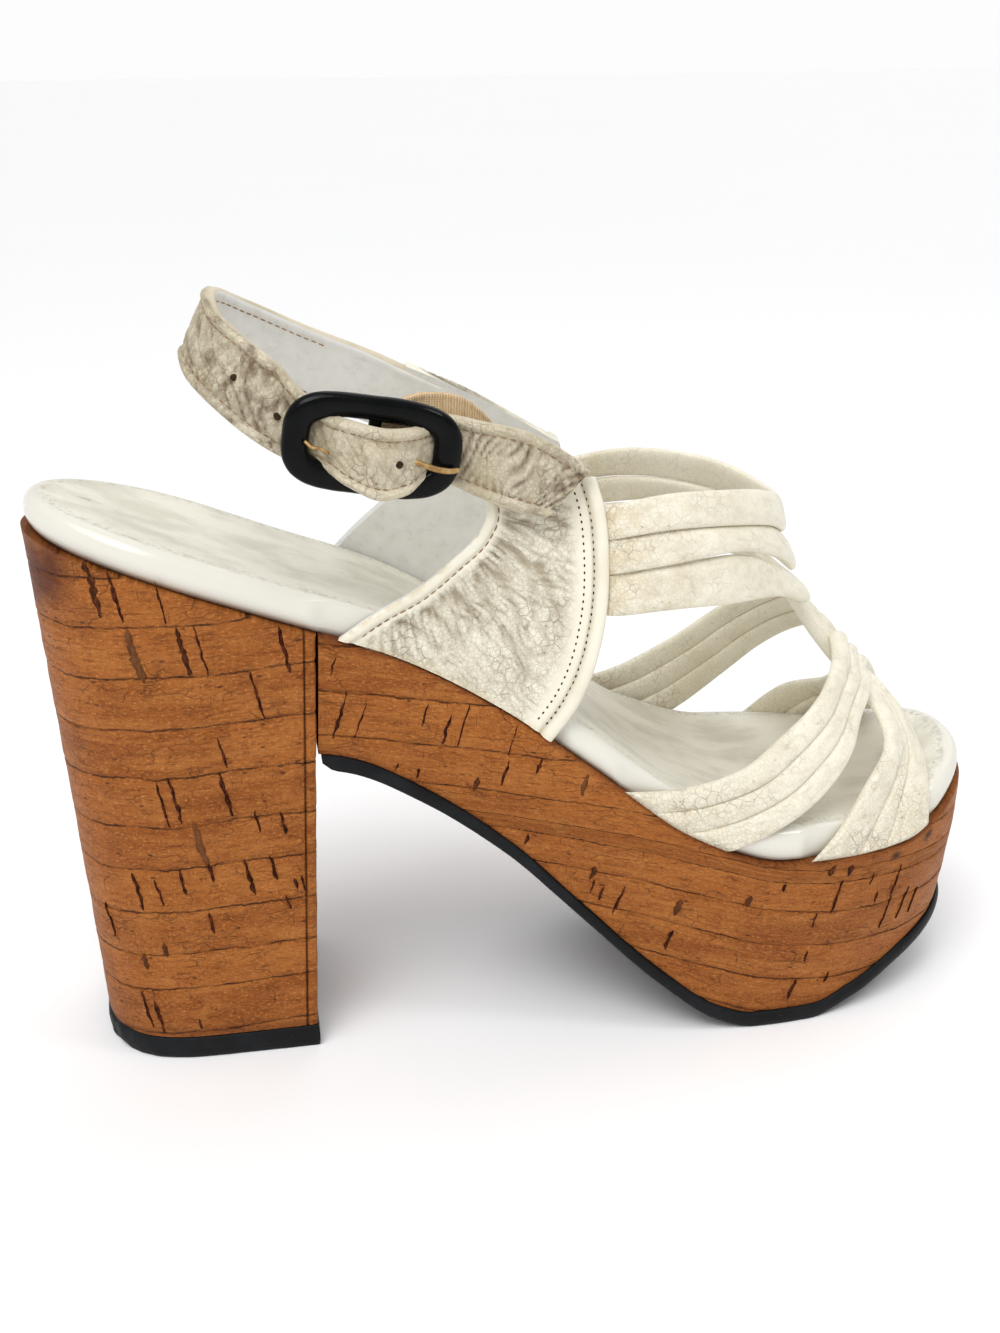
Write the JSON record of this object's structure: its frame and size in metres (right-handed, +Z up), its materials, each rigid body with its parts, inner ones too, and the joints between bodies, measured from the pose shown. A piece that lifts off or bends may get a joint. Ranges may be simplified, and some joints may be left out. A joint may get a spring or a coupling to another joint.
{
  "type": "platform sandal",
  "caption": "Right platform sandal with a high block heel, crossed pleated vamp straps, an instep band, closed quarters and a buckled sling strap.",
  "frame": {"origin": "centre of the bounding box in plan, on the floor that the heel and the forefoot stand on", "axes": "+X from heel to toe, +Y to the medial (inner) side of this right shoe, +Z up"},
  "size_m": [0.2406, 0.0846, 0.189],
  "materials": {
    "rubber": "matt black rubber",
    "cork": "lacquered cork strips with dark slots",
    "insole_leather": "off-white leather, glossy at the rim, worn matt on top",
    "upper_leather": "creased and crackled cream leather",
    "buckle": "glossy black",
    "prong": "dull worn pin",
    "elastic": "woven tan elastic"
  },
  "bodies": {
    "root": {"outsole": "rubber", "heel_top_piece": "rubber", "platform": "cork", "heel_block": "cork", "insole": "insole_leather", "upper": "upper_leather", "back_strap": "upper_leather", "buckle_frame": "buckle", "buckle_prong": "prong", "buckle_elastic": "elastic"}
  },
  "joints": []
}
